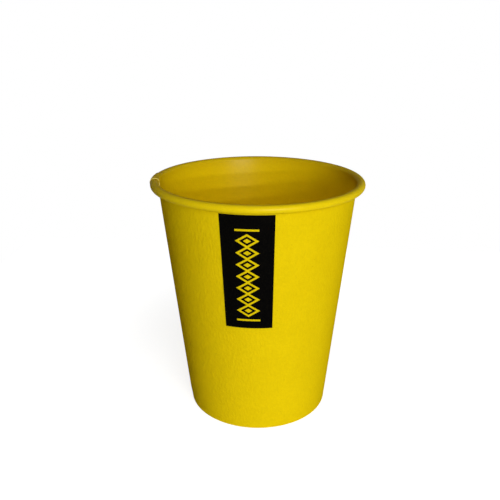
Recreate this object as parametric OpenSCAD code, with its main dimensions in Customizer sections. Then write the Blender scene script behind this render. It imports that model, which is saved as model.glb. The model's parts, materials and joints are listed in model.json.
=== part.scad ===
// Single-wall paper cup: one rolled sheet for the wall, a pressed bottom and a printed panel.
// Z is up. The origin is the middle of the foot's plane, and the panel's middle faces -Y.

/* [Cup] */
// Height from the foot to the top of the rolled rim
cup_h = 92; // [70:1:130]
// Outside diameter of the rolled rim
rim_d = 80; // [70:1:95]
// Outside diameter of the wall, carried down to the foot's plane
base_d = 55; // [46:1:64]
// Thickness of the wall's board
wall_t = 0.35; // [0.25:0.05:0.45]

/* [Rolled rim] */
// Height of the roll
curl_h = 2.9; // [2.5:0.1:3.5]
// Width of the flat on top of the roll, which makes it wider than high
curl_flat = 0.45; // [0.3:0.05:0.8]
// Space between one turn of the roll and the next
curl_gap = 0.06; // [0.04:0.01:0.1]
// Angle that the sheet's end turns through inside the roll
curl_tail = 60; // [20:5:90]

/* [Foot] */
// Outside radius of the two bends where the sheet turns in and up
foot_r = 0.4; // [0.4:0.05:0.5]
// How far the turned-in sheet stops below the bottom
hem_drop = 0.8; // [0.5:0.1:2]

/* [Bottom] */
// Height of the bottom's underside above the foot's plane
recess_h = 7; // [5:0.5:10]
// Thickness of the bottom's board
bottom_t = 0.35; // [0.25:0.05:0.45]
// Inside radius of the bend between the bottom and its skirt
bottom_bend = 0.4; // [0.2:0.1:0.8]
// Glue line on each side of the skirt
glue_gap = 0.05; // [0.03:0.01:0.1]
// Space between the skirt's lower edge and the foot's fold
skirt_clear = 0.3; // [0.2:0.1:0.8]

/* [Side seam] */
// Where the lap lies, as an angle from the front
seam_angle = -86; // [-180:1:-50]
// Width of the lap, half-way up
lap_w = 7.5; // [5:0.5:10]
// Width of the slope where the outer layer comes down to the wall, half-way up
ramp_w = 3; // [2:0.5:5]
// How much thicker the roll is at the lap
lap_rise = 0.25; // [0.1:0.05:0.4]

/* [Printed panel] */
// Angle of the cup that the panel covers
panel_span = 29.5; // [24:0.5:60]
// Height of the panel
panel_h = 42.9; // [39:0.1:48]
// How far the panel's upper edge is below the top of the rim
panel_drop = 3.8; // [3.6:0.1:12]
// Thickness of the print
print_t = 0.06; // [0.03:0.01:0.1]

/* [Lozenge chain in the panel] */
// Height of the chain with its end bars
chain_h = 35; // [30:0.5:38]
// Width of the chain
chain_w = 8.2; // [5:0.2:11]
// Number of lozenges
chain_count = 7; // [4:1:9]
// Width of the chain's lines
chain_line = 0.75; // [0.4:0.05:1]
// Space between an end bar and the chain
chain_gap = 0.9; // [0.5:0.1:2]
// Margin below the chain
chain_margin = 2.9; // [0.8:0.1:4]

/* [Hidden] */
$fn = 120;

yellow = [0.92, 0.80, 0.02];
black = [0.04, 0.04, 0.04];

// Largest angle between two points along a bend
bend_step = 15;
// Share of a lozenge's size that its solid centre takes
centre_share = 0.34;

base_r = base_d / 2;
rim_r = rim_d / 2;

// The roll's first bend, which the wall's inner face runs into
curl_r = curl_h / 2;
curl_at = [rim_r - curl_r - curl_flat, cup_h - curl_r];
// Each half turn of the roll is this much smaller than the one around it
curl_shrink = (wall_t + curl_gap) / 2;

// Angle between the wall and the axis
lean = atan2(curl_at.x - base_r, curl_at.y) - asin((curl_r - wall_t) / norm(curl_at - [base_r, 0]));

// Distance between the middles of the wall and of the hem, with the skirt between them
hem_pitch = wall_t + bottom_t + 2 * glue_gap;
fold_r = foot_r - wall_t / 2;

half_girth = PI * (rim_r + base_r) / 2;
lap_turn = lap_w * 180 / half_girth;
ramp_turn = ramp_w * 180 / half_girth;
// Angle of the outer layer's cut edge, counted from +X
lap_start = seam_angle - 90 - lap_turn / 2;

panel_top = cup_h - panel_drop;
panel_foot = panel_top - panel_h;

// Radius at height z of the cone that lies this deep inside the wall's outer face
function cone_r(z, depth) = base_r + z * tan(lean) - depth / cos(lean);

// A place on a bent sheet's middle line is [radius, height, heading in degrees]
function after_run(p, run) = [p[0] + run * cos(p[2]), p[1] + run * sin(p[2]), p[2]];
function after_bend(p, r, turn) = [
    p[0] + r * (sin(p[2]) - sin(p[2] - turn)),
    p[1] + r * (cos(p[2] - turn) - cos(p[2])),
    p[2] - turn
];

// Places along the moves [run] and [bend radius, clockwise turn], without the first place
function trail(p, moves, i = 0) =
    i == len(moves) ? [] :
    let (
        move = moves[i],
        bent = len(move) == 2,
        steps = bent ? ceil(move[1] / bend_step) : 1,
        leg = [for (k = [1:steps])
            bent ? after_bend(p, move[0], move[1] * k / steps) : after_run(p, move[0])]
    )
    concat(leg, trail(leg[steps - 1], moves, i + 1));

// The point that lies this far to the left of a place
function beside(p, d) = [p[0] - d * sin(p[2]), p[1] + d * cos(p[2])];

function backwards(list) = [for (i = [len(list) - 1:-1:0]) list[i]];

// Where the straight wall begins, above the foot's outer bend, and where it runs into the roll
wall_foot = [
    cone_r(foot_r, foot_r) + fold_r * cos(lean),
    foot_r - fold_r * sin(lean)
];
wall_head = curl_at + (curl_r - wall_t / 2) * [-cos(lean), sin(lean)];

// Up the wall and round the roll
rise = concat(
    [[wall_foot.x, wall_foot.y, 90 - lean]],
    trail([wall_foot.x, wall_foot.y, 90 - lean], [
        [norm(wall_head - wall_foot)],
        [curl_r - wall_t / 2, 90 - lean],
        [curl_flat],
        [curl_r - wall_t / 2, 180],
        [curl_flat - curl_shrink],
        [curl_r - curl_shrink - wall_t / 2, 180],
        [curl_r - 2 * curl_shrink - wall_t / 2, curl_tail]
    ])
);

// Round the foot and up inside the skirt
fold = trail([wall_foot.x, wall_foot.y, 270 - lean], [
    [fold_r, 90 - lean],
    [(hem_pitch - 2 * fold_r) / cos(lean)],
    [fold_r, 90 + lean],
    [(recess_h - hem_drop - foot_r) / cos(lean)]
]);

module sheet_section() {
    outer = concat(
        backwards([for (p = fold) beside(p, wall_t / 2)]),
        [for (p = rise) beside(p, -wall_t / 2)]
    );
    inner = concat(
        backwards([for (p = fold) beside(p, -wall_t / 2)]),
        [for (p = rise) beside(p, wall_t / 2)]
    );
    polygon(concat(outer, backwards(inner)));
}

// A band that follows the wall, from one depth to another below its outer face
module wall_band(z0, z1, deep, shallow) {
    polygon([
        [cone_r(z0, deep), z0],
        [cone_r(z0, shallow), z0],
        [cone_r(z1, shallow), z1],
        [cone_r(z1, deep), z1]
    ]);
}

// The roll's outline, grown by this much
module roll_outline(grow) {
    r = curl_r + grow;
    translate(curl_at) circle(r);
    translate(curl_at + [curl_flat, 0]) circle(r);
    translate(curl_at - [0, r]) square([curl_flat, 2 * r]);
}

// Everything above the slope from the lap's outer face down to the wall
module above_ramp() {
    reach = 4 * ramp_w;
    rotate([0, 0, lap_start + lap_turn])
        translate([cone_r(0, -wall_t), 0, 0])
            rotate([0, lean, 0])
                rotate([0, 0, atan2(wall_t, ramp_w) + ramp_turn / 2])
                    translate([0, -reach, -cup_h / 2])
                        cube([reach, 2 * reach, 2 * cup_h]);
}

// The outer layer of the lap, from its cut edge to the slope on its other side
module lap_layer() {
    difference() {
        rotate_extrude(angle = lap_turn + ramp_turn, start = lap_start)
            wall_band(foot_r, curl_at.y, wall_t / 2, -wall_t);
        above_ramp();
    }
}

// The doubled sheet in the roll
module lap_roll() {
    rotate_extrude(angle = lap_turn, start = lap_start)
        difference() {
            roll_outline(lap_rise);
            roll_outline(-wall_t / 2);
        }
}

module side_wall() {
    color(yellow) union() {
        rotate_extrude() sheet_section();
        lap_layer();
        lap_roll();
    }
}

module bottom_disc() {
    bend_r = bottom_bend + bottom_t / 2;
    bend_z = recess_h - bottom_bend;
    bend_at = cone_r(bend_z, wall_t + glue_gap + bottom_t + bottom_bend);
    skirt_top = bend_z - bend_r * sin(lean);
    start = [0, recess_h + bottom_t / 2, 0];
    middle = concat([start], trail(start, [
        [bend_at],
        [bend_r, 90 + lean],
        [(skirt_top - wall_t - skirt_clear) / cos(lean)]
    ]));
    color(yellow) rotate_extrude()
        polygon(concat(
            [for (p = middle) beside(p, bottom_t / 2)],
            backwards([for (p = middle) beside(p, -bottom_t / 2)])
        ));
}

module lozenge(w, h) {
    polygon([[-w / 2, 0], [0, -h / 2], [w / 2, 0], [0, h / 2]]);
}

// One lozenge of the chain: an outline with a solid centre
module chain_link(w, h) {
    // How far the inner outline's points stay inside the outer one's
    inset_w = chain_line * norm([w, h]) / h;
    inset_h = chain_line * norm([w, h]) / w;
    difference() {
        lozenge(w, h);
        lozenge(w - 2 * inset_w, h - 2 * inset_h);
    }
    lozenge(w * centre_share, h * centre_share);
}

// The chain seen from the front, with its foot at height 0
module chain_outline() {
    links_h = chain_h - 2 * (chain_line + chain_gap);
    // Neighbouring outlines share the width of one line where their points meet
    pitch = (links_h - chain_line) / chain_count;
    for (z = [0, chain_h - chain_line])
        translate([-chain_w / 2, z]) square([chain_w, chain_line]);
    for (i = [0:chain_count - 1])
        translate([0, chain_line + chain_gap + chain_line / 2 + pitch * (i + 0.5)])
            chain_link(chain_w, pitch + chain_line);
}

module printed_panel() {
    color(black) difference() {
        intersection() {
            rotate_extrude() wall_band(panel_foot, panel_top, 0, -print_t);
            // Everything within the panel's angle, half of it on each side of the front
            rotate_extrude(angle = panel_span, start = -90 - panel_span / 2)
                square([rim_d, cup_h]);
        }
        translate([0, 0, panel_foot + chain_margin])
            rotate([90, 0, 0]) linear_extrude(rim_r) chain_outline();
    }
}

side_wall();
bottom_disc();
printed_panel();
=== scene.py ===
import json
import math

import bmesh
import bpy
from mathutils import Matrix, Vector, geometry


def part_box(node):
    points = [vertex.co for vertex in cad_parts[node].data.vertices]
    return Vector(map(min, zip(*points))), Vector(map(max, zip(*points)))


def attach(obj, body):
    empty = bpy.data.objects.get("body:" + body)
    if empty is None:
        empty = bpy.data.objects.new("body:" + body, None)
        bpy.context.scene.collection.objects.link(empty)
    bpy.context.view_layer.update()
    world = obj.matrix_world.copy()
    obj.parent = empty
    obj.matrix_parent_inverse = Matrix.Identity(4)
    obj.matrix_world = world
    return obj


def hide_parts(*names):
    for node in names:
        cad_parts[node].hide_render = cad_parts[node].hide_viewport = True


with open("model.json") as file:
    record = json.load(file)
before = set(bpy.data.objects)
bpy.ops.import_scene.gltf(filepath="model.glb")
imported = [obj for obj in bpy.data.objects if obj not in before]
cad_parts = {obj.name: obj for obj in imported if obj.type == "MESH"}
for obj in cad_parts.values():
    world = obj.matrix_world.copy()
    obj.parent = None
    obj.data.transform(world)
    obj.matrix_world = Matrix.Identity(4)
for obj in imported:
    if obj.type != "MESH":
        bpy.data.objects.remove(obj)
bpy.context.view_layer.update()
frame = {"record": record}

mm = 0.001
lidRim = next(m for m in frame["record"]["mounts"] if m["name"] == "lid_rim")
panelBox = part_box("printed_panel")
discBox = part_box("bottom_disc")

# Sizes in millimetres, taken from the frame where it has them
cup = dict(
    height=lidRim["pos_m"][2] / mm,
    rimRadius=lidRim["dims"]["r_mm"],
    rollHeight=lidRim["dims"]["length_mm"],
    rollFlat=0.45,
    rollGap=0.06,
    rollTail=60,  # degrees that the sheet's end turns through inside the roll
    footRadius=27.5,  # the wall's outer face, carried down to the floor
    board=0.35,
    footBend=0.4,
    glueGap=0.05,
    hemDrop=0.8,
    columns=600,  # points round the wall, besides those at the cut edges
)
cup["discUnderside"] = discBox[1].z / mm - cup["board"]
cup["rollRadius"] = cup["rollHeight"] / 2
cup["rollMiddle"] = Vector((
    cup["rimRadius"] - cup["rollRadius"] - cup["rollFlat"],
    cup["height"] - cup["rollRadius"],
))
toFoot = cup["rollMiddle"] - Vector((cup["footRadius"], 0))
lean = math.atan2(toFoot.x, toFoot.y) - math.asin((cup["rollRadius"] - cup["board"]) / toFoot.length)


def coneRadius(z, depth=0):
    return cup["footRadius"] + z * math.tan(lean) - depth / math.cos(lean)


def smooth(low, high, x):
    t = min(max((x - low) / (high - low), 0), 1)
    return t * t * (3 - 2 * t)


# Shader nodes

class Signal:  # one output socket, so that shader maths reads as arithmetic
    def __init__(self, nodes, socket):
        self.nodes = nodes
        self.socket = socket

    def math(self, operation, *values):
        return self.nodes.make("Math", dict(operation=operation), dict(enumerate(values)))

    def __add__(self, other):
        return self.math("ADD", self, other)

    def __sub__(self, other):
        return self.math("SUBTRACT", self, other)

    def __rsub__(self, other):
        return self.math("SUBTRACT", other, self)

    def __mul__(self, other):
        return self.math("MULTIPLY", self, other)

    __radd__ = __add__
    __rmul__ = __mul__

    def atLeast(self, other):
        return self.math("MAXIMUM", self, other)

    def step(self, low, high):  # 0 below low, 1 above high, soft between
        return self.nodes.make(
            "MapRange",
            dict(interpolation_type="SMOOTHSTEP"),
            {"Value": self, "From Min": low, "From Max": high},
        )


class Nodes:
    def __init__(self, tree):
        self.tree = tree
        tree.nodes.clear()

    def make(self, kind, settings=None, values=None, output=0):
        node = self.tree.nodes.new("ShaderNode" + kind)
        for name, value in (settings or {}).items():
            setattr(node, name, value)
        for key, value in (values or {}).items():
            if isinstance(value, Signal):
                self.tree.links.new(value.socket, node.inputs[key])
            else:
                node.inputs[key].default_value = value
        return Signal(self, node.outputs[output]) if node.outputs else None

    def mixColour(self, factor, a, b):
        a, b = (colour if isinstance(colour, Signal) else (*colour, 1) for colour in (a, b))
        return self.make("Mix", dict(data_type="RGBA"), {0: factor, 6: a, 7: b}, output=2)

    def place(self, *stretch):  # object coordinates in millimetres, divided by the stretch on each axis
        where = self.make("TexCoord", output="Object")
        scale = tuple(1 / (mm * s) for s in (stretch or (1, 1, 1)))
        return self.make("VectorMath", dict(operation="MULTIPLY"), {0: where, 1: scale})

    def noise(self, size, where=None, detail=2, rough=0.5):  # from 0 to 1, with lumps of this size in mm
        values = {"Vector": where or self.place(), "Scale": 1 / size, "Detail": detail, "Roughness": rough}
        return self.make("TexNoise", None, values)

    def close(self, shader, output="OutputMaterial"):
        self.make(output, None, {"Surface": shader})


def newMaterial(name):
    material = bpy.data.materials.new(name)
    material.use_nodes = True
    return material, Nodes(material.node_tree)


# Finishes

# Lengths in mm, colours linear. Each From is where a mask starts and where it is full.
fibre = dict(
    tall=1.6,  # how much longer than wide
    maskFrom=(0.3, 0.7),
    share=0.7,  # of the mottle, the rest is clouds
    speck=1.1,
    speckFrom=(0.74, 0.82),
)
paper = dict(
    yellow=(0.945, 0.733, 0.004),
    deeper=(0.855, 0.652, 0.003),
    speck=(0.75, 0.545, 0.003),
    cloud=9,
    grain=0.8,
    grainDepth=0.3,
    roughness=0.62,
    gloss=dict(weight=0.01, roughness=0.5, ior=2.2),  # a thin even coat
)
# Painted shade: inside the cup this one coated face is darker and more orange than its lit copy on the roll
coating = dict(
    yellow=(0.855, 0.620, 0.003),
    deeper=(0.79, 0.565, 0.003),
    speck=(0.73, 0.500, 0.003),
    warm=(0.895, 0.615, 0.002),  # painted shade: darker and more orange down inside the cup
    warmDeeper=(0.83, 0.570, 0.002),
    warmFrom=(72, 87),  # heights over which the painted shade fades out upwards
    rolled=(0.97, 0.755, 0.004),  # lit copy of the coated face, painted lighter on the outer side of the roll than inside the cup
    rolledDeeper=(0.91, 0.695, 0.003),
    rolledFrom=(37.8, 39.0),  # distances from the axis, over which the painted lit copy takes over
    cloud=12,
    grain=0.7,
    grainDepth=0.2,
    scuff=dict(size=3, tall=2, maskFrom=(0.35, 0.75), rougher=0.08),
    roughness=0.5,
    gloss=dict(weight=0.065, roughness=0.3, ior=2.2),
)
thinBoard = dict(share=0.25, colour=(0.87, 0.77, 0.003))  # what shines through each face
rawBoard = dict(colour=(0.80, 0.66, 0.30), layer=0.12, layerLength=8, roughness=0.8)
ink = dict(
    black=(0.0008, 0.0007, 0.0007),
    worn=(0.007, 0.006, 0.004),
    fleckFrom=(0.45, 0.8),
    grain=0.4,
    grainDepth=0.012,
    roughness=0.55,
    gloss=dict(weight=0.006, roughness=0.5, ior=2.2),
)


def paperColour(nodes, layer):
    clouds = nodes.noise(layer["cloud"], detail=3).step(*fibre["maskFrom"])
    along = nodes.place(1, 1, fibre["tall"])
    fibres = nodes.noise(layer["grain"], along, detail=3, rough=0.7).step(*fibre["maskFrom"])
    specks = nodes.noise(fibre["speck"], detail=1).step(*fibre["speckFrom"])
    mottle = clouds * (1 - fibre["share"]) + fibres * fibre["share"]
    even = nodes.mixColour(mottle, layer["yellow"], layer["deeper"])
    return nodes.mixColour(specks, even, layer["speck"])


def paperBump(nodes, grain, depth):
    fibres = nodes.noise(grain, nodes.place(1, 1, fibre["tall"]), detail=4, rough=0.6)
    return nodes.make("Bump", None, {"Strength": 1.0, "Distance": depth * mm, "Height": fibres})


def board(nodes, colour, roughness, normal, gloss=None, through=None):  # a surface of paper or ink
    values = {"Base Color": colour, "Roughness": roughness, "Normal": normal, "Specular IOR Level": 0.0}
    if gloss:
        values["Coat Weight"] = gloss["weight"]
        values["Coat Roughness"] = gloss["roughness"]
        values["Coat IOR"] = gloss["ior"]
    lit = nodes.make("BsdfPrincipled", None, values)
    if not through:
        return lit
    glow = nodes.make("BsdfTranslucent", None, {"Color": (*through["colour"], 1)})
    return nodes.make("MixShader", None, {0: through["share"], 1: lit, 2: glow})


def outsideFinish():
    material, nodes = newMaterial("mattePaper")
    normal = paperBump(nodes, paper["grain"], paper["grainDepth"])
    shader = board(nodes, paperColour(nodes, paper), paper["roughness"], normal, paper["gloss"], thinBoard)
    nodes.close(shader)
    return material


def insideFinish():
    material, nodes = newMaterial("coatedPaper")
    noHeight = {0: nodes.place(), 1: (1, 1, 0)}
    level = nodes.make("VectorMath", dict(operation="MULTIPLY"), noHeight)
    radius = nodes.make("VectorMath", dict(operation="LENGTH"), {0: level}, output="Value")
    # Painted light: the coated face gets a lighter, lit copy on the roll and a darker, shaded copy inside
    # the cup
    onRoll = radius.step(*coating["rolledFrom"])
    height = nodes.make("SeparateXYZ", None, {0: nodes.place()}, output="Z")
    # Painted shade: 1 low down inside the cup, fading out towards the rim
    paintedDeepShade = 1 - height.step(*coating["warmFrom"])
    # The darker, more orange copy of the coating that paints the shade deep inside the cup
    low = coating | dict(yellow=coating["warm"], deeper=coating["warmDeeper"])
    # The roll's lit copy of the coated face, painted brighter than the same face inside the cup
    roll = coating | dict(yellow=coating["rolled"], deeper=coating["rolledDeeper"])
    paintedShadeInCup = nodes.mixColour(paintedDeepShade, paperColour(nodes, coating), paperColour(nodes, low))
    colour = nodes.mixColour(onRoll, paintedShadeInCup, paperColour(nodes, roll))
    scuff = coating["scuff"]
    scuffs = nodes.noise(scuff["size"], nodes.place(1, 1, scuff["tall"]), detail=4).step(*scuff["maskFrom"])
    roughness = coating["roughness"] + scuffs * scuff["rougher"]
    normal = paperBump(nodes, coating["grain"], coating["grainDepth"])
    nodes.close(board(nodes, colour, roughness, normal, coating["gloss"], thinBoard))
    return material


def edgeFinish():
    material, nodes = newMaterial("cutBoard")
    long = rawBoard["layerLength"]
    layers = nodes.noise(rawBoard["layer"], nodes.place(long, long, 1), detail=2)
    colour = nodes.mixColour(layers, rawBoard["colour"], paper["yellow"])
    normal = paperBump(nodes, paper["grain"], paper["grainDepth"])
    nodes.close(board(nodes, colour, rawBoard["roughness"], normal))
    return material


def inkFinish():
    material, nodes = newMaterial("blackInk")
    flecks = nodes.noise(ink["grain"], detail=4, rough=0.7).step(*ink["fleckFrom"])
    colour = nodes.mixColour(flecks, ink["black"], ink["worn"])
    normal = paperBump(nodes, ink["grain"], ink["grainDepth"])
    nodes.close(board(nodes, colour, ink["roughness"], normal, ink["gloss"]))
    return material


mattePaper = outsideFinish()
coatedPaper = insideFinish()
cutBoard = edgeFinish()
blackInk = inkFinish()
print("finishes made")


# Sheets of board, as a middle line with a heading, in radius and height

def layPath(start, moves):  # moves are (length, steps) or (radius, clockwise turn, steps)
    places = [start]
    for move in moves:
        r, z, heading = places[-1]
        steps = move[-1]
        for i in range(1, steps + 1):
            if len(move) == 2:
                run = move[0] * i / steps
                places.append((r + run * math.cos(heading), z + run * math.sin(heading), heading))
            else:
                radius = move[0]
                turned = heading - move[1] * i / steps
                places.append((
                    r + radius * (math.sin(heading) - math.sin(turned)),
                    z + radius * (math.cos(turned) - math.cos(heading)),
                    turned,
                ))
    return places


def beside(place, distance):  # the point this far to the left, and the way there
    r, z, heading = place
    away = Vector((-math.sin(heading), math.cos(heading)))
    return Vector((r, z)) + distance * away, away * math.copysign(1, distance)


# A closed profile turned round the axis. shift says where an entry of the profile lies at an angle,
# and faceFinish which finish the face after a column and an entry has, or None for no face.
def ringMesh(name, profile, columns, shift, finishes, faceFinish):
    points = []
    for angle in columns:
        spin = Vector((math.cos(angle), math.sin(angle)))
        for entry in profile:
            radius, z = shift(entry, angle)
            points.append((radius * spin.x * mm, radius * spin.y * mm, z * mm))
    count = len(profile)
    faces = []
    kinds = []
    for c in range(len(columns)):
        after = (c + 1) % len(columns)
        for i in range(count):
            j = (i + 1) % count
            kind = faceFinish(c, i)
            if kind is not None:
                faces.append((c * count + i, after * count + i, after * count + j, c * count + j))
                kinds.append(kind)
    return buildMesh(name, points, faces, finishes, kinds)


def buildMesh(name, points, faces, finishes, kinds, sharpAngle=35):
    mesh = bpy.data.meshes.new(name)
    mesh.from_pydata(points, [], faces)
    for finish in finishes:
        mesh.materials.append(finish)
    mesh.polygons.foreach_set("material_index", kinds)
    mesh.polygons.foreach_set("use_smooth", [True] * len(faces))
    mesh.set_sharp_from_angle(angle=math.radians(sharpAngle))
    mesh.update()
    piece = bpy.data.objects.new(name, mesh)
    bpy.context.scene.collection.objects.link(piece)
    return piece


def weld(piece, reach=1e-4):  # joins the points that lie in one place
    form = bmesh.new()
    form.from_mesh(piece.data)
    bmesh.ops.remove_doubles(form, verts=form.verts, dist=reach * mm)
    form.to_mesh(piece.data)
    form.free()


# Wall, with its rolled rim, its folded foot and its lap

seam = dict(
    angle=math.radians(184),  # middle of the lap, counted from +X
    lapWidth=7.5,
    rampWidth=3,
    easeWidth=2,
    rollRise=0.25,
    riseAlong=(-1, 5),  # steps from the roll's start, over which the lap comes up inside
    fallAlong=(-3, 1),  # steps from the end of the roll's first turn, over which it goes down
    dipAlong=(0.02, 0.1),  # shares of the cup's height, over which the inner face starts to step back
    underRoll=(1, 0.8),  # roll heights below the rim, over which the outer layer goes down
    hair=0.02,  # mm to each side of a cut edge, so that its face stands almost upright
)
halfGirth = math.pi * (cup["rimRadius"] + cup["footRadius"]) / 2
seam["outerCut"] = seam["angle"] - seam["lapWidth"] / 2 / halfGirth * math.pi
seam["innerCut"] = seam["angle"] + seam["lapWidth"] / 2 / halfGirth * math.pi
seam["ramp"] = seam["rampWidth"] / halfGirth * math.pi
seam["ease"] = seam["easeWidth"] / halfGirth * math.pi

warp = dict(
    wall=0.05,
    # waves round the cup, where they start, how far that turns up to the rim, and their share
    bends=((2, 0.6, 0, 0.5), (3, -1.1, 2, 0.3)),
    ripples=dict(round=7, twist=5, upwards=9, start=1.3, share=0.3),
    sag=0.25,  # how far the rim drops on one side and rises on the other
    sagPower=3,  # how the drop grows with the height
    sagAngle=math.radians(6.4),  # towards the side that drops, counted from +X
    steady=6,  # mm below the rim, over which the wall gets truly round
    knurlDepth=0.07,
    knurlCount=120,
    knurlEase=2,  # steps along the hem, over which the ribs start
)
wallSteps = dict(wall=26, intoRoll=9, flat=1, turn=16, innerTurn=8, tail=2, foldBend=4, fold=1, hem=6)


def sagged(angle, z):  # the height of a point once the rim has tilted
    drop = warp["sag"] * (z / cup["height"]) ** warp["sagPower"]
    return z - drop * math.cos(angle - warp["sagAngle"])


def wander(angle, z):  # how far the board lies from a true cone, in mm
    up = z / cup["height"]
    slow = sum(share * math.sin(n * angle + start + twist * up) for n, start, twist, share in warp["bends"])
    ripples = warp["ripples"]
    quick = math.sin(ripples["round"] * angle + ripples["twist"] * up)
    quick *= math.sin(ripples["upwards"] * up + ripples["start"]) * ripples["share"]
    free = 1 - smooth(cup["height"] - warp["steady"], cup["height"], z)
    return warp["wall"] * (slow * up + quick * (1 - up * up)) * free


def outerLift(angle):  # 1 over the lap, down to 0 along the ramp
    if angle < seam["outerCut"]:
        return 0
    return 1 - smooth(seam["innerCut"], seam["innerCut"] + seam["ramp"], angle)


def innerDip(angle):  # the same, where the inner layer has ended
    return 0 if angle < seam["innerCut"] else outerLift(angle)


def rollLift(angle):  # 1 where the roll is doubled
    if angle > seam["innerCut"]:
        return 0
    return smooth(seam["outerCut"] - seam["ease"], seam["outerCut"], angle)


def wallProfile():
    half = cup["board"] / 2
    foldRadius = cup["footBend"] - half
    hemPitch = 2 * cup["board"] + 2 * cup["glueGap"]
    shrink = (cup["board"] + cup["rollGap"]) / 2
    foot = Vector((
        coneRadius(cup["footBend"], cup["footBend"]) + foldRadius * math.cos(lean),
        cup["footBend"] - foldRadius * math.sin(lean),
    ))
    rollRadius = cup["rollRadius"] - half
    head = cup["rollMiddle"] + rollRadius * Vector((-math.cos(lean), math.sin(lean)))
    up = math.pi / 2 - lean
    rise = layPath((foot.x, foot.y, up), [
        ((head - foot).length, wallSteps["wall"]),
        (rollRadius, up, wallSteps["intoRoll"]),
        (cup["rollFlat"], wallSteps["flat"]),
        (rollRadius, math.pi, wallSteps["turn"]),
        (cup["rollFlat"] - shrink, wallSteps["flat"]),
        (rollRadius - shrink, math.pi, wallSteps["innerTurn"]),
        (rollRadius - 2 * shrink, math.radians(cup["rollTail"]), wallSteps["tail"]),
    ])
    fold = layPath((foot.x, foot.y, up + math.pi), [
        (foldRadius, up, wallSteps["foldBend"]),
        ((hemPitch - 2 * foldRadius) / math.cos(lean), wallSteps["fold"]),
        (foldRadius, math.pi - up, wallSteps["foldBend"]),
        ((cup["discUnderside"] - cup["hemDrop"] - cup["footBend"]) / math.cos(lean), wallSteps["hem"]),
    ])
    outer = [(*beside(p, half), "printed", -i) for i, p in enumerate(fold)][::-1]
    outer += [(*beside(p, -half), "printed", i) for i, p in enumerate(rise)][1:]
    inner = [(*beside(p, -half), "coated", -i) for i, p in enumerate(fold)][::-1]
    inner += [(*beside(p, half), "coated", i) for i, p in enumerate(rise)][1:]
    return outer + inner[::-1], len(rise), len(fold)


rollStart = wallSteps["wall"]  # the last place of the straight wall along the rise
turnEnd = rollStart + wallSteps["intoRoll"] + wallSteps["flat"] + wallSteps["turn"]
hemStart = -(2 * wallSteps["foldBend"] + wallSteps["fold"])  # places down and round the foot count below 0


def outsideLift(i, z, angle):  # how far the lap or the knurling moves a point of the printed face
    if i < hemStart:
        ribs = 0.5 + 0.5 * math.cos(warp["knurlCount"] * angle)
        return -warp["knurlDepth"] * ribs * smooth(hemStart, hemStart - warp["knurlEase"], i)
    if not 0 <= i <= rollStart:
        return 0
    low, high = (cup["height"] - share * cup["rollHeight"] for share in seam["underRoll"])
    return cup["board"] * outerLift(angle) * smooth(0, 2 * cup["footBend"], z) * (1 - smooth(low, high, z))


def insideLift(i, z, angle):
    if i < 0:
        return 0
    comes, goes = seam["riseAlong"], seam["fallAlong"]
    onRoll = smooth(rollStart + comes[0], rollStart + comes[1], i)
    onRoll *= 1 - smooth(turnEnd + goes[0], turnEnd + goes[1], i)
    low, high = (share * cup["height"] for share in seam["dipAlong"])
    onWall = smooth(low, high, z) * (1 - onRoll) if i <= rollStart else 0
    return seam["rollRise"] * rollLift(angle) * onRoll - cup["board"] * innerDip(angle) * onWall


def wallShift(entry, angle):
    point, normal, side, i = entry
    lift = outsideLift if side == "printed" else insideLift
    place = point + normal * lift(i, point.y, angle)
    return place.x + wander(angle, point.y), sagged(angle, place.y)


def wallColumns():  # angles all round, two of them close together at each cut edge, and where the cuts are
    hair = seam["hair"] / cup["rimRadius"]
    cuts = [seam[edge] + side for edge in ("outerCut", "innerCut") for side in (-hair, hair)]
    even = [math.tau * c / cup["columns"] for c in range(cup["columns"])]
    columns = sorted([a for a in even if all(abs(a - c) > 2 * hair for c in cuts)] + cuts)
    return columns, {columns.index(cuts[0]), columns.index(cuts[2])}


def makeWall():
    profile, riseCount, foldCount = wallProfile()
    columns, cutColumns = wallColumns()
    count = len(profile)
    outerCount = riseCount + foldCount - 1

    def faceFinish(c, i):  # printed outside, coated inside, raw at the sheet's ends and at the cuts
        place = profile[i][-1]
        if i in (outerCount - 1, count - 1) or (c in cutColumns and 0 <= place < turnEnd):
            return 2
        return 0 if i < outerCount else 1

    finishes = [mattePaper, coatedPaper, cutBoard]
    piece = ringMesh("cupWall", profile, columns, wallShift, finishes, faceFinish)
    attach(piece, "root")
    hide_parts("side_wall")
    print("wall made,", len(piece.data.polygons), "faces")


# Bottom, with its skirt between the wall and the hem

bottom = dict(
    bend=0.4,
    skirtClear=0.3,
    crown=0.3,  # how far the middle is pushed up
    crownFrom=(0.55, 0.97),  # shares of the radius, over which it goes down to the edge
    ripple=0.04,
    rippleCount=3,
    rippleTwist=0.2,  # radians for each mm outwards
    ripplesOutside=8,  # radius within which the ripple fades
    pleatDepth=0.03,
    pleatCount=90,
    pleatEase=6,  # steps along the bend, over which the pleats start
    columns=360,
    steps=dict(flat=24, bend=8, skirt=5),
)


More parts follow.
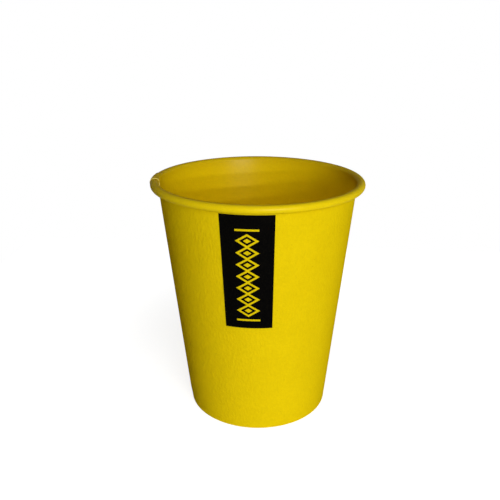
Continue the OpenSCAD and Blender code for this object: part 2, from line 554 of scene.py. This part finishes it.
def makeBottom():
    thick = cup["board"]
    half = thick / 2
    bendRadius = bottom["bend"] + half
    bendZ = cup["discUnderside"] - bottom["bend"]
    bendAt = coneRadius(bendZ, 2 * thick + cup["glueGap"] + bottom["bend"])
    skirtTop = bendZ - bendRadius * math.sin(lean)
    skirt = (skirtTop - thick - bottom["skirtClear"]) / math.cos(lean)
    start = (0, cup["discUnderside"] + half, 0)
    places = bottom["steps"]
    middle = layPath(start, [
        (bendAt, places["flat"]),
        (bendRadius, math.pi / 2 + lean, places["bend"]),
        (skirt, places["skirt"]),
    ])
    profile = [(*beside(p, half), "top", i) for i, p in enumerate(middle)]
    profile += [(*beside(p, -half), "under", i) for i, p in enumerate(middle)][::-1]

    def shift(entry, angle):
        point, normal, side, i = entry
        low, high = (share * bendAt for share in bottom["crownFrom"])
        flat = 1 - smooth(low, high, point.x)
        pleats = smooth(places["flat"], places["flat"] + bottom["pleatEase"], i) * bottom["pleatDepth"]
        pleats *= math.cos(bottom["pleatCount"] * angle)
        place = point + normal * pleats * (-1 if side == "top" else 1)
        ripple = bottom["ripple"] * smooth(0, bottom["ripplesOutside"], point.x)
        wave = math.sin(bottom["rippleCount"] * angle + bottom["rippleTwist"] * point.x)
        return place.x, place.y + (bottom["crown"] + ripple * wave) * flat

    columns = [math.tau * c / bottom["columns"] for c in range(bottom["columns"])]

    def faceFinish(c, i):  # none on the axis, where top and underside close on their own points
        if i == len(profile) - 1:
            return None
        return 1 if i == len(middle) - 1 else 0

    piece = ringMesh("cupBottom", profile, columns, shift, [coatedPaper, cutBoard], faceFinish)
    weld(piece)
    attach(piece, "root")
    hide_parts("bottom_disc")
    print("bottom made,", len(piece.data.polygons), "faces")


# Printed panel, black round a chain of lozenges through which the wall shows

panel = dict(
    low=panelBox[0].z / mm,
    high=panelBox[1].z / mm,
    span=29.5,  # degrees
    thickness=0.06,
    sunk=0.01,
    mesh=0.9,  # mm between the points that bend it round the cup
    nearest=1e-5,  # points nearer than this are one
    chainHeight=35,
    chainWidth=8.2,
    chainCount=7,
    line=0.75,
    gap=0.9,
    margin=2.9,
    centre=0.34,  # the solid middle's share of a lozenge
)


def chainShapes():  # the bars, and for each lozenge its outer and inner outline and its centre
    foot = panel["low"] + panel["margin"]
    half = panel["chainWidth"] / 2
    line = panel["line"]
    feet = (foot, foot + panel["chainHeight"] - line)
    bars = [[(-half, z), (half, z), (half, z + line), (-half, z + line)] for z in feet]
    pitch = (panel["chainHeight"] - 2 * panel["gap"] - 3 * line) / panel["chainCount"]
    tall = (pitch + line) / 2
    inset = line * math.hypot(half, tall)
    sizes = [
        (half, tall),
        (half - inset / tall, tall - inset / half),
        (half * panel["centre"], tall * panel["centre"]),
    ]
    lozenges = []
    for i in range(panel["chainCount"]):
        z = foot + 1.5 * line + panel["gap"] + pitch * (i + 0.5)
        lozenges.append([[(-w, z), (0, z - h), (w, z), (0, z + h)] for w, h in sizes])
    return bars, lozenges


def sides(shape):
    return zip(shape, shape[1:] + shape[:1])


def inside(shape, x, z):  # for convex outlines that run anticlockwise
    return all((x1 - x0) * (z - z0) >= (z1 - z0) * (x - x0) for (x0, z0), (x1, z1) in sides(shape))


def isBlack(x, z, outline, bars, lozenges):
    if not inside(outline, x, z) or any(inside(bar, x, z) for bar in bars):
        return False
    for outer, inner, centre in lozenges:
        if inside(outer, x, z) and (not inside(inner, x, z) or inside(centre, x, z)):
            return False
    return True


def flatPoints(shapes, side):  # points along the shapes with the edges between them, and a grid between
    points, edges = [], []
    for shape in shapes:
        first = len(points)
        for (x0, z0), (x1, z1) in sides(shape):
            parts = max(1, round(math.hypot(x1 - x0, z1 - z0) / panel["mesh"]))
            points += [(x0 + (x1 - x0) * k / parts, z0 + (z1 - z0) * k / parts) for k in range(parts)]
        edges += [(k, k + 1 if k + 1 < len(points) else first) for k in range(first, len(points))]
    height = panel["high"] - panel["low"]
    rows = round(height / panel["mesh"])
    for row in range(1, rows):
        z = panel["low"] + height * row / rows
        reach = coneRadius(z) * side
        across = round(2 * reach / panel["mesh"])
        points += [(reach * (2 * k / across - 1), z) for k in range(1, across)]
    return points, edges


def bent(x, z, depth):  # a point of the flat panel, laid on the cup at this height above its face
    angle = math.asin(x / coneRadius(z)) - math.pi / 2
    radius = coneRadius(z, -depth) + wander(angle % math.tau, z)
    return radius * math.cos(angle) * mm, radius * math.sin(angle) * mm, sagged(angle, z) * mm


def makePrint():
    side = math.sin(math.radians(panel["span"] / 2))
    low, high = panel["low"], panel["high"]
    outline = [(-coneRadius(low) * side, low), (coneRadius(low) * side, low)]
    outline += [(coneRadius(high) * side, high), (-coneRadius(high) * side, high)]
    bars, lozenges = chainShapes()
    points, edges = flatPoints([outline] + bars + sum(lozenges, []), side)
    insideOnly = 1
    flat = geometry.delaunay_2d_cdt([Vector(p) for p in points], edges, [], insideOnly, panel["nearest"])
    spots, triangles = flat[0], flat[2]

    def keep(triangle):
        x, z = (sum(spots[k][axis] for k in triangle) / 3 for axis in (0, 1))
        return isBlack(x, z, outline, bars, lozenges)

    kept = [t for t in triangles if keep(t)]
    used = sorted({k for t in kept for k in t})
    order = {k: n for n, k in enumerate(used)}
    solid = [bent(*spots[k], depth) for depth in (panel["thickness"], -panel["sunk"]) for k in used]
    count = len(used)
    faces = [tuple(order[k] for k in t) for t in kept]
    borders = {edge: True for a, b, c in faces for edge in ((a, b), (b, c), (c, a))}
    rims = [(a, b) for a, b in borders if (b, a) not in borders]
    faces += [(a + count, c + count, b + count) for a, b, c in faces]
    faces += [(b, a, a + count, b + count) for a, b in rims]
    piece = buildMesh("panelPrint", solid, faces, [blackInk], [0] * len(faces))
    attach(piece, "root")
    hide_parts("printed_panel")
    print("print made,", len(piece.data.polygons), "faces")


makeWall()
makeBottom()
makePrint()


# Floor, world, lamps and camera

studio = dict(
    floorSize=0.36,  # metres
    floorColour=(0.65, 0.65, 0.65, 1),
    nearGlow=(0.84, 0.84, 0.84),
    farGlow=(1.0, 1.0, 1.0),
    glowGrows=(60, 160),  # mm from the cup
    ambient=0.02,
)


def seenDirectly(nodes):  # 1 for what the camera, glass and gloss look at
    kinds = ("Is Camera Ray", "Is Glossy Ray", "Is Transmission Ray")
    camera, gloss, glass = (nodes.make("LightPath", output=kind) for kind in kinds)
    return camera.atLeast(gloss).atLeast(glass)


def makeFloor():
    half = studio["floorSize"] / 2
    corners = [(-half, -half, 0), (half, -half, 0), (half, half, 0), (-half, half, 0)]
    material, nodes = newMaterial("paleFloor")
    matte = {"Base Color": studio["floorColour"], "Roughness": 1.0, "Specular IOR Level": 0.0}
    plain = nodes.make("BsdfPrincipled", None, matte)
    distance = nodes.make("VectorMath", dict(operation="LENGTH"), {0: nodes.place()}, output="Value")
    far = distance.step(*studio["glowGrows"])
    glow = nodes.mixColour(far, studio["nearGlow"], studio["farGlow"])
    bright = nodes.make("BsdfPrincipled", None, matte | {"Emission Color": glow, "Emission Strength": 1.0})
    nodes.close(nodes.make("MixShader", None, {0: seenDirectly(nodes), 1: plain, 2: bright}))
    buildMesh("floor", corners, [(0, 1, 2, 3)], [material], [0])


def makeWorld():
    world = bpy.data.worlds.new("softLight")
    world.use_nodes = True
    bpy.context.scene.world = world
    nodes = Nodes(world.node_tree)
    dim = nodes.make("Background", None, {"Color": (1, 1, 1, 1), "Strength": studio["ambient"]})
    white = nodes.make("Background", None, {"Color": (1, 1, 1, 1), "Strength": 1.0})
    nodes.close(nodes.make("MixShader", None, {0: seenDirectly(nodes), 1: dim, 2: white}), "OutputWorld")


# Angles in degrees: azimuth from the panel's side towards +X, elevation above the rim
lamps = dict(
    front=dict(azimuth=17, elevation=-3, distance=1.0, width=0.5, height=0.1, watts=2.5),
    lowTube=dict(azimuth=26, elevation=4.9, distance=1.0, width=0.4, height=0.01, watts=1.55),
    middleTube=dict(azimuth=26, elevation=9.3, distance=1.0, width=0.4, height=0.01, watts=1.95),
    highTube=dict(azimuth=26, elevation=13.7, distance=1.0, width=0.4, height=0.01, watts=1.4),
    softBox=dict(azimuth=26, elevation=25, distance=1.0, width=0.6, height=0.25, watts=2.55),
    overhead=dict(azimuth=-90, elevation=89, distance=1.0, width=0.3, height=0.3, watts=0.35),
    behind=dict(azimuth=190, elevation=-2, distance=1.0, width=0.8, height=0.1, watts=1.2),
)


def makeLamps():
    aim = Vector((0, 0, cup["height"] * mm))
    for name, lamp in lamps.items():
        azimuth, elevation = math.radians(lamp["azimuth"]), math.radians(lamp["elevation"])
        toLamp = Vector((
            math.sin(azimuth) * math.cos(elevation),
            -math.cos(azimuth) * math.cos(elevation),
            math.sin(elevation),
        ))
        light = bpy.data.lights.new(name, "AREA")
        light.shape = "RECTANGLE"
        light.size = lamp["width"]
        light.size_y = lamp["height"]
        light.energy = lamp["watts"]
        source = bpy.data.objects.new(name, light)
        source.location = aim + toLamp * lamp["distance"]
        source.rotation_euler = toLamp.to_track_quat("Z", "Y").to_euler()
        bpy.context.scene.collection.objects.link(source)


view = dict(
    turn=6.4,  # degrees round the cup, from the panel's side towards +X
    aside=-3.01,  # mm
    back=229.8,
    height=146.9,
    tilt=20.08,
    roll=-0.346,
    lens=45.06,
    sees=(0.01, 20),  # metres
)


def makeCamera():
    data = bpy.data.cameras.new("camera")
    data.lens = view["lens"]
    data.clip_start, data.clip_end = view["sees"]
    camera = bpy.data.objects.new("camera", data)
    turn = Matrix.Rotation(math.radians(view["turn"]), 4, "Z")
    place = Matrix.Translation(Vector((view["aside"], -view["back"], view["height"])) * mm)
    tilt = Matrix.Rotation(math.radians(90 - view["tilt"]), 4, "X")
    roll = Matrix.Rotation(math.radians(view["roll"]), 4, "Z")
    camera.matrix_world = turn @ place @ tilt @ roll
    bpy.context.scene.collection.objects.link(camera)
    bpy.context.scene.camera = camera


makeFloor()
makeWorld()
makeLamps()
makeCamera()
bpy.context.scene.view_settings.view_transform = "Standard"
print("studio made")
